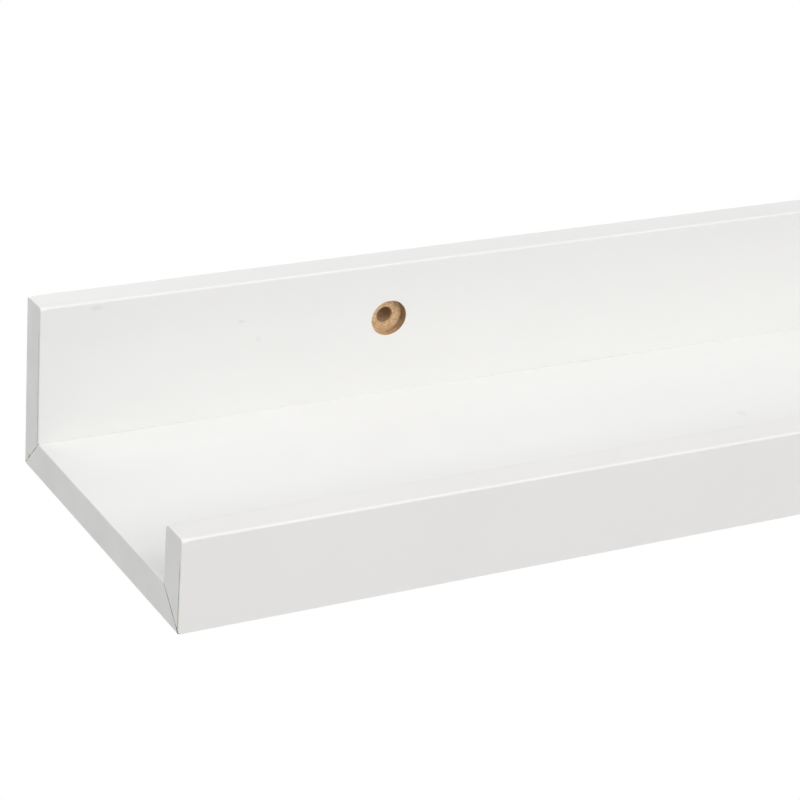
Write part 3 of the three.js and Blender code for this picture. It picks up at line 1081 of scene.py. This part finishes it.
# %% Build the back panel
def build_back_panel():
    corners = [
        (WALL_Y, BOTTOM_Z + MITRE_GAP, MITRE_TIP_EASE),
        (WALL_Y, TOP_Z, PANEL_REAR_EASE),
        (PANEL_FRONT_Y, TOP_Z, PANEL_FRONT_EASE),
        (PANEL_FRONT_Y, SHELF_TOP_Z + MITRE_GAP, 0),
    ]
    brad_z = back_centres[0, 2]
    hole_rows = window_lines(HOLE_Z, SCREW_WINDOW, SCREW_WINDOW_STEPS)
    brad_rows = window_lines(brad_z, BRAD_WINDOW, BRAD_WINDOW_STEPS)
    wall_rows = np.concatenate([hole_rows, brad_rows])
    screw_lines = window_lines(screw_places, SCREW_WINDOW, SCREW_WINDOW_STEPS)
    brad_lines = window_lines(back_centres[:, 0], BRAD_WINDOW, BRAD_WINDOW_STEPS)
    places = places_along(screw_lines, brad_lines, end_lines())
    sections = [with_rows(s, 1, hole_rows, PANEL_FRONT_Y) for s in worn_sections(corners, places)]
    grid = Grid([with_rows(s, 1, wall_rows, WALL_Y) for s in sections], places)
    for i, x in enumerate(screw_places):
        centre = np.array([x, PANEL_FRONT_Y, HOLE_Z])
        profile = screw_hole_profile(FIRST_HOLE_SEED + i)
        let_in(grid, centre, SCREW_WINDOW, BACKWARDS, profile, far_plane=WALL_Y)
    for x in back_centres[:, 0]:
        let_in(grid, np.array([x, WALL_Y, brad_z]), BRAD_WINDOW, FORWARDS, brad_hole_profile)
    return grid.mesh("back_panel_faced", [white_facing, bare_fibreboard, sized_end])


dress(build_back_panel(), "white_board", "back_panel")

# %% [markdown]
# ## The shelf board and the lip
#
# The shelf board has only the brad holes in its underside, and no sanded edge, because its own edges lie
# in the joints. The lip is sanded over at both edges of its top, the rear one most, which gives the ledge
# the bright lines that run along it. The three boards could be one folded section, but the real ones are
# three, with a joint between them that shows.

# %% Build the shelf board and the lip
LIP_FRONT_EASE = 0.8 * MM
LIP_REAR_EASE = 1.0 * MM
INNER_ROWS = 12


def build_shelf_board():
    section = eased_section([
        (WALL_Y - MITRE_GAP, BOTTOM_Z, MITRE_TIP_EASE),
        (PANEL_FRONT_Y - MITRE_GAP, SHELF_TOP_Z, 0),
        (LIP_REAR_Y + MITRE_GAP, SHELF_TOP_Z, 0),
        (FRONT_Y + MITRE_GAP, BOTTOM_Z, MITRE_TIP_EASE),
    ])
    brad_y = front_centres[0, 1]
    section = with_rows(section, 0, window_lines(brad_y, BRAD_WINDOW, BRAD_WINDOW_STEPS), BOTTOM_Z)
    inner = np.linspace(PANEL_FRONT_Y, LIP_REAR_Y, INNER_ROWS + 1)[1:-1]
    section = with_rows(section, 0, inner, SHELF_TOP_Z)
    grid = Grid(section, places_along(window_lines(front_centres[:, 0], BRAD_WINDOW, BRAD_WINDOW_STEPS)))
    for x in front_centres[:, 0]:
        let_in(grid, np.array([x, brad_y, BOTTOM_Z]), BRAD_WINDOW, UPWARDS, brad_hole_profile)
    return grid.mesh("shelf_board_faced", [shelf_facing, bare_fibreboard, sized_end])


def build_front_lip():
    corners = [
        (FRONT_Y, BOTTOM_Z + MITRE_GAP, MITRE_TIP_EASE),
        (LIP_REAR_Y, SHELF_TOP_Z + MITRE_GAP, 0),
        (LIP_REAR_Y, LIP_TOP_Z, LIP_REAR_EASE),
        (FRONT_Y, LIP_TOP_Z, LIP_FRONT_EASE),
    ]
    places = places_along(end_lines())
    grid = Grid(worn_sections(corners, places), places)
    return grid.mesh("front_lip_faced", [lip_facing, bare_fibreboard, sized_end])


dress(build_shelf_board(), "white_board", "shelf_board")
dress(build_front_lip(), "white_board", "front_lip")

# %% [markdown]
# ## The bands on the board ends
#
# Each band has its board's section and is hardly thicker than a fingernail. What makes an end look real
# is how the bands meet: the mitres gape by up to three tenths of a millimetre, more at the corners, here
# and there a flake is missing, and the outer edges are scraped round. A thin cube with a bevel would have
# its edges too straight for that. So a band is a stack of rings: each ring is the outline drawn in by
# some amount, at some height above the board's end.

# %% The outline of a band, drawn in
SIDE_POINTS = 64
side_shares = (1 - np.cos(np.linspace(0, math.pi, SIDE_POINTS + 1)[:-1])) / 2


def drawn_ring(corners, draws, eases, inset):
    """Side i runs from corner i to corner i + 1 and lies draws[i](t) + inset[i] inside that line, for t
    from nought to one along it, with points closer together near both ends. Where two sides meet at an
    angle A with distances a and b, the crossing lies (b + a cos A) / sin A along side a. Points nearer to
    an eased corner than the middle of its arc move onto the arc."""
    corners, inset = np.array(corners), np.array(inset)
    ahead = np.roll(corners, -1, axis=0) - corners
    length = np.linalg.norm(ahead, axis=1)
    along = ahead / length[:, None]
    inward = np.stack([-along[:, 1], along[:, 0]], axis=1)
    cosine = -(along * np.roll(along, 1, axis=0)).sum(axis=1)
    sine = np.sqrt(1 - cosine**2)
    at_start, at_end = (np.array([draw(np.array([0.0, 1.0])) for draw in draws]) + inset[:, None]).T
    start = (np.roll(at_end, 1) + at_start * cosine) / sine
    end = length - (np.roll(at_start, -1) + at_end * np.roll(cosine, -1)) / np.roll(sine, -1)
    s = start[:, None] + (end - start)[:, None] * side_shares
    depth = np.array([draw(side_shares) for draw in draws]) + inset[:, None]
    points = corners[:, None] + along[:, None] * s[..., None] + inward[:, None] * depth[..., None]
    points = points.reshape(-1, 2)
    for i, ease in eases.items():
        away = points - (corners[i] + ease * (inward[i - 1] + inward[i]))
        past = (away @ inward[i - 1] < 0) & (away @ inward[i] < 0)
        radius = max(ease - inset[i], HAIR)
        points[past] += away[past] * (radius / np.linalg.norm(away[past], axis=1) - 1)[:, None]
    return points


# %% [markdown]
# ## Dust and painted shade in the joints
#
# The joints and the grooves in the bands are hardly wider than a hair, and what is seen in them is dust,
# old glue and shade. Left white, their walls would light each other up and the line would vanish, so
# they get a finish of their own, dark and dull, with the shade of the gap painted into it.

# %% Make the seam finish of dust and painted shade
# Painted shade as well as dust and glue: the gaps' shade is painted into this dark colour.
SEAM_SHADE_AND_DUST = (0.10, 0.092, 0.08)
SEAM_SHADE_AND_DUST_PALE = (0.19, 0.17, 0.14)


def make_shaded_dusty_seam():
    material, tree, shader = new_material("dusty seam")
    mottled_colour(tree, shader, SEAM_SHADE_AND_DUST, SEAM_SHADE_AND_DUST_PALE, amount=1.0, scale=500.0, sheen=(0.85, 0.95))
    relief(tree, shader, ripple=900.0, grain=4000.0, share=0.5, strength=0.4, distance=0.1 * MM)
    return material


shaded_dusty_seam = make_shaded_dusty_seam()

# %% [markdown]
# Along the front side of the back panel's band and the lip's band runs a fine groove, a little way in
# from the edge: there the band stops, and what lies beyond is the turned-in edge of the facing, sanded to
# a slope. In the photograph the groove starts part way down and shows as a faint dark line with a bright
# one beside it. It is cut into the mesh, as two of the rings, because a painted line would have no bright
# side.

# %% A band as a stack of rings
BAND_ROUND = 0.2 * MM
MITRE_ROUND = 0.02 * MM
BAND_TURN_STEPS = 5
RING_SPACE = 0.01 * MM
GROOVE_STEEP = 1.6
GROOVE_RINGS = [(0, 0, 0), (0.5, 1, GROOVE_STEEP), (1, 2, 0), (1, 6, 0)]
GROOVE_SEEN = 0.02 * MM
PLAIN, SEAM_SHADED = 0, 1


def band_mesh(name, side, corners, draws, eases, mitre_sides, groove_side, groove_in, groove):
    """Rings from the board's end out. First the plain outline, then a quarter circle of the band's
    rounding, then GROOVE_RINGS: the groove's near edge, its bottom, its far edge, and a last ring that
    keeps the flat even. Each gives the share of the groove's width and the number of ring spaces that it
    lies further in, and how steep it is: its depth is the width times that. groove(t) is the width along
    the groove side."""
    thickness = SHELF_END_X - CORE_END_X
    sides = np.arange(len(corners))
    rounding = np.where(np.isin(sides, mitre_sides), MITRE_ROUND, BAND_ROUND)
    on_mitre = np.repeat(np.isin(sides, mitre_sides), SIDE_POINTS)
    width = np.zeros((len(corners), SIDE_POINTS))
    width[groove_side] = groove(side_shares)
    width = width.ravel()
    rings = [(drawn_ring(corners, draws, eases, 0 * rounding), 0.0)]
    for turn in np.linspace(0, math.pi / 2, BAND_TURN_STEPS + 1):
        ring = drawn_ring(corners, draws, eases, rounding * (1 - math.cos(turn)))
        rings.append((ring, thickness - np.repeat(rounding, SIDE_POINTS) * (1 - math.sin(turn))))
    inset = np.where(sides == groove_side, groove_in, rounding + RING_SPACE)
    near = drawn_ring(corners, draws, eases, inset)
    step = (drawn_ring(corners, draws, eases, inset + RING_SPACE) - near) / RING_SPACE
    for share, spaces, steep in GROOVE_RINGS:
        ring = near + step * (width * share + RING_SPACE * spaces)[:, None]
        rings.append((ring, thickness - width * steep))
    seam_shade = np.zeros((len(rings) - 1, len(width)), dtype=bool)
    # The mitre's rounding and the groove get the seam finish: dust and glue with painted shade.
    seam_shade[:BAND_TURN_STEPS - 1] = on_mitre
    seam_shade[-3:-1] = width > GROOVE_SEEN
    return stack_mesh(name, side, rings, seam_shade)


def stack_mesh(name, side, rings, seam_shade):
    """Joins rings of equal number into one closed mesh, whose face between rings k and k + 1 gets the seam
    finish of dust and painted shade at point j where seam_shade[k, j] says so. side is -1 at the left end
    and +1 at the right."""
    n = len(rings[0][0])
    heights = [side * (CORE_END_X + np.broadcast_to(height, n)) for _, height in rings]
    points = np.column_stack([np.concatenate(heights), np.concatenate([ring for ring, _ in rings])])
    k, j = np.meshgrid(np.arange(len(rings) - 1), np.arange(n), indexing="ij")
    ahead = (j + 1) % n
    quads = np.stack([k * n + j, k * n + ahead, (k + 1) * n + ahead, (k + 1) * n + j], axis=-1)
    quads = quads.reshape(-1, 4)
    caps = np.stack([np.arange(n)[::-1], (len(rings) - 1) * n + np.arange(n)])
    dark = seam_shade.ravel()
    groups = [(quads[~dark], PLAIN), (quads[dark], SEAM_SHADED), (caps, PLAIN)]
    return closed_mesh(name, points, groups, [band_finish, shaded_dusty_seam])


# %% [markdown]
# The left end is the one in the photograph. Its rear mitre shows a flake of bare board near the outer
# corner, where the corner itself is chipped; its front mitre gapes all along, and most at the bottom. The
# right end is out of sight, so it has the same joints in better order. Each side of a band is drawn in by
# a function of the way along it, which is easier to set against the photograph than single points would
# be.


# %% How far each side is drawn in
def none_drawn(t):
    return 0 * t


ROUGH_TURNS = np.array([3, 7, 12, 19, 31])


def rough(seed, amount):
    """A fine uneven line: a half plus half a sum of sines with a seeded phase each, kept above nought,
    times the amount."""
    phase = np.random.default_rng(seed).uniform(0, 2 * math.pi, len(ROUGH_TURNS))

    def draw(t):
        waves = np.sin(2 * math.pi * np.outer(t, ROUGH_TURNS) + phase) / np.sqrt(ROUGH_TURNS)
        return amount * np.clip(0.5 + 0.5 * waves.sum(axis=1), 0, None)

    return draw


def turned_round(draw):
    """The same line for a side that runs the other way."""
    return lambda t: draw(1 - t)


# %% The joints' gaps, in mm and in shares of the way in from the outer corner
REAR_GAP = {
    "even": 0.015, "swell": 0.07, "place": 0.65, "width": 0.22, "rough": 0.03, "chip": 0.12, "reach": 0.09,
}
FRONT_GAP = {
    "even": 0.07, "swell": 0.05, "place": 0.4, "width": 0.35, "rough": 0.09, "chip": 0.2, "reach": 0.12,
}
FLAKE = {"depth": 0.2, "place": 0.3, "width": 0.08, "least": 0.9, "rough": 0.2}


def mitre_gap(sizes, seed, wear):
    """Half a joint's gap: an even part, a swell that is a hump along it, a fine uneven line, and a chip
    at the outer corner that goes with the wear."""
    uneven = rough(seed, sizes["rough"] * MM)

    def gap(t):
        seam = sizes["even"] * MM + sizes["swell"] * MM * hump(t, sizes["place"], sizes["width"])
        return seam + uneven(t) + wear * (sizes["chip"] * MM * hump(t, 0.0, sizes["reach"]))

    return gap


def flake(seed, wear):
    """What the flake takes from the back panel's band besides: a hump with an uneven line on it."""
    uneven = rough(seed, FLAKE["rough"])
    depth = wear * FLAKE["depth"] * MM
    return lambda t: depth * hump(t, FLAKE["place"], FLAKE["width"]) * (FLAKE["least"] + uneven(t))


def nick(place, depth, width):
    """A small chip in an edge."""
    return lambda t: depth * hump(t, place, width)


# %% Build the bands
PANEL_GROOVE_IN, PANEL_GROOVE_START, PANEL_GROOVE = 1.0 * MM, 0.12, 0.13 * MM
LIP_GROOVE_IN, LIP_GROOVE_START, LIP_GROOVE = 0.75 * MM, 0.22, 0.18 * MM
GROOVE_GROWS_OVER = 0.15
GROOVE_ROUGH = 0.05 * MM
TOP_NICK, TOP_NICK_PLACE, TOP_NICK_WIDTH = 0.25 * MM, 0.02, 0.04
FRONT_NICK, FRONT_NICK_WIDTH = 0.2 * MM, 0.03
LEFT_SEED, RIGHT_SEED = 3, 7


def groove_width(seed, wear, start, full):
    """The groove's width: none before the start, then growing to the full width, with an uneven line on
    it."""
    uneven = rough(seed, GROOVE_ROUGH)
    return lambda t: (wear * full + uneven(t)) * np.clip((t - start) / GROOVE_GROWS_OVER, 0, 1)


def band_set(side, wear, seed):
    """The three bands of one end. A side that runs inwards from an outer corner takes its joint's gap as
    it is, and one that runs outwards takes it the other way round."""
    rear, front = mitre_gap(REAR_GAP, seed, wear), mitre_gap(FRONT_GAP, seed + 1, wear)
    missing = flake(seed + 3, wear)
    tag = "left" if side < 0 else "right"
    outer_rear, outer_front = (WALL_Y, BOTTOM_Z), (FRONT_Y, BOTTOM_Z)
    inner_rear, inner_front = (PANEL_FRONT_Y, SHELF_TOP_Z), (LIP_REAR_Y, SHELF_TOP_Z)
    panel_corners = [outer_rear, (WALL_Y, TOP_Z), (PANEL_FRONT_Y, TOP_Z), inner_rear]
    board_corners = [outer_rear, inner_rear, inner_front, outer_front]
    lip_corners = [outer_front, inner_front, (LIP_REAR_Y, LIP_TOP_Z), (FRONT_Y, LIP_TOP_Z)]
    top_nick = nick(TOP_NICK_PLACE, wear * TOP_NICK, TOP_NICK_WIDTH)
    panel_draws = [none_drawn, top_nick, none_drawn, turned_round(lambda t: rear(t) + missing(t))]
    board_draws = [rear, none_drawn, turned_round(front), none_drawn]
    lip_draws = [front, none_drawn, top_nick, nick(0.0, wear * FRONT_NICK, FRONT_NICK_WIDTH)]
    growth = 1 + END_WORN * wear
    panel_eases = {1: PANEL_REAR_EASE * growth, 2: PANEL_FRONT_EASE * growth}
    lip_eases = {2: LIP_REAR_EASE * growth, 3: LIP_FRONT_EASE * growth}
    panel_groove = groove_width(seed + 4, wear, PANEL_GROOVE_START, PANEL_GROOVE)
    lip_groove = groove_width(seed + 5, wear, LIP_GROOVE_START, LIP_GROOVE)
    plans = {
        "back_panel": (panel_corners, panel_draws, panel_eases, (3,), 2, PANEL_GROOVE_IN, panel_groove),
        "shelf_board": (board_corners, board_draws, {}, (0, 2), 1, PANEL_GROOVE_IN, none_drawn),
        "front_lip": (lip_corners, lip_draws, lip_eases, (0,), 3, LIP_GROOVE_IN, lip_groove),
    }
    for board, plan in plans.items():
        piece = band_mesh(f"{board}_end_band_{tag}_scraped", side, *plan)
        dress(piece, "white_band", f"{board}_end_band_{tag}")


band_set(side=-1, wear=LEFT_WEAR, seed=LEFT_SEED)
band_set(side=1, wear=RIGHT_WEAR, seed=RIGHT_SEED)

# %% [markdown]
# ## Glue and brads
#
# The glue films stay as the CAD model has them, because they only show as a line inside a joint. They get
# a finish of dried wood glue. The brads show their heads in the wall face and the underside: plain drawn
# steel, with a softened head and a blunt point. A cylinder would be their plain stand-in; a profile
# turned about its axis gives the head its edge and the point its taper for a few more faces.

# %% Finish the glue films
GLUE = (0.72, 0.62, 0.40)
GLUE_DARK = (0.52, 0.40, 0.22)


def make_dried_glue():
    material, tree, shader = new_material("dried wood glue")
    mottled_colour(tree, shader, GLUE, GLUE_DARK, amount=0.8, scale=300.0, sheen=(0.28, 0.5))
    relief(tree, shader, ripple=400.0, grain=1500.0, share=0.3, strength=0.4, distance=0.3 * MM)
    return material


dried_glue = make_dried_glue()
for film in ("back_mitre_glue", "front_mitre_glue"):
    frame["nodes"][film].data.materials.clear()
    frame["nodes"][film].data.materials.append(dried_glue)

# %% Make the brads
STEEL = (0.52, 0.51, 0.50)
STEEL_DARK = (0.30, 0.29, 0.28)
BRAD_SIDES = 24
BRAD_POINT = 1.6 * MM
HEAD_SHARES = [(0.80, 0.0), (0.95, 0.08), (1.0, 0.24), (1.0, 0.84), (0.9, 1.0), (0.62, 1.12)]
HEAD_THICKNESS = 0.5 * MM
SHANK_SHARE = 0.6
SHANK_FROM = 1.4 * HEAD_THICKNESS
POINT_SHARE = 0.15


def make_drawn_steel():
    material, tree, shader = new_material("drawn steel")
    mottled_colour(tree, shader, STEEL, STEEL_DARK, amount=0.7, scale=900.0, sheen=(0.28, 0.5))
    shader.inputs["Metallic"].default_value = 1.0
    relief(tree, shader, ripple=1500.0, grain=6000.0, share=0.5, strength=0.3, distance=0.1 * MM)
    return material


drawn_steel = make_drawn_steel()


def brad_mesh(name, head, direction):
    """A profile turned about its axis: head + direction * distance + circle * radius, ring after ring,
    closed by a fan at both ends."""
    rows = [(BRAD_RADIUS * r, HEAD_THICKNESS * d) for r, d in HEAD_SHARES]
    rows += [(BRAD_RADIUS * SHANK_SHARE, d) for d in (SHANK_FROM, BRAD_LENGTH - BRAD_POINT)]
    rows += [(BRAD_RADIUS * POINT_SHARE, BRAD_LENGTH)]
    radius, distance = np.array(rows).T
    angle = np.linspace(0, 2 * math.pi, BRAD_SIDES, endpoint=False)[:, None]
    across = np.array([1.0, 0, 0])
    circle = np.cos(angle) * across + np.sin(angle) * np.cross(direction, across)
    rings = head + direction * distance[:, None, None] + circle * radius[:, None, None]
    points = np.vstack([rings.reshape(-1, 3), head, head + direction * BRAD_LENGTH])
    k, j = np.meshgrid(np.arange(len(rows) - 1), np.arange(BRAD_SIDES), indexing="ij")
    ahead = (j + 1) % BRAD_SIDES
    quads = np.stack([k * BRAD_SIDES + j, k * BRAD_SIDES + ahead], axis=-1)
    quads = np.concatenate([quads, quads[..., ::-1] + BRAD_SIDES], axis=-1).reshape(-1, 4)
    last = (len(rows) - 1) * BRAD_SIDES
    fans = [
        np.stack([start + j[0], start + ahead[0], np.full(BRAD_SIDES, middle)], axis=1)
        for start, middle in ((0, len(points) - 2), (last, len(points) - 1))
    ]
    return closed_mesh(name, points, [(quads, PLAIN), (np.concatenate(fans), PLAIN)], [drawn_steel])


def place_brads(names, centres, direction):
    for name, centre in zip(names, centres):
        head = centre - direction * BRAD_LENGTH / 2
        dress(brad_mesh(f"{name}_drawn", head, direction), "brad_steel", name)


place_brads(back_brads, back_centres, FORWARDS)
place_brads(front_brads, front_centres, UPWARDS)

# %% Set the view, finish
bpy.context.scene.view_settings.view_transform = "Standard"
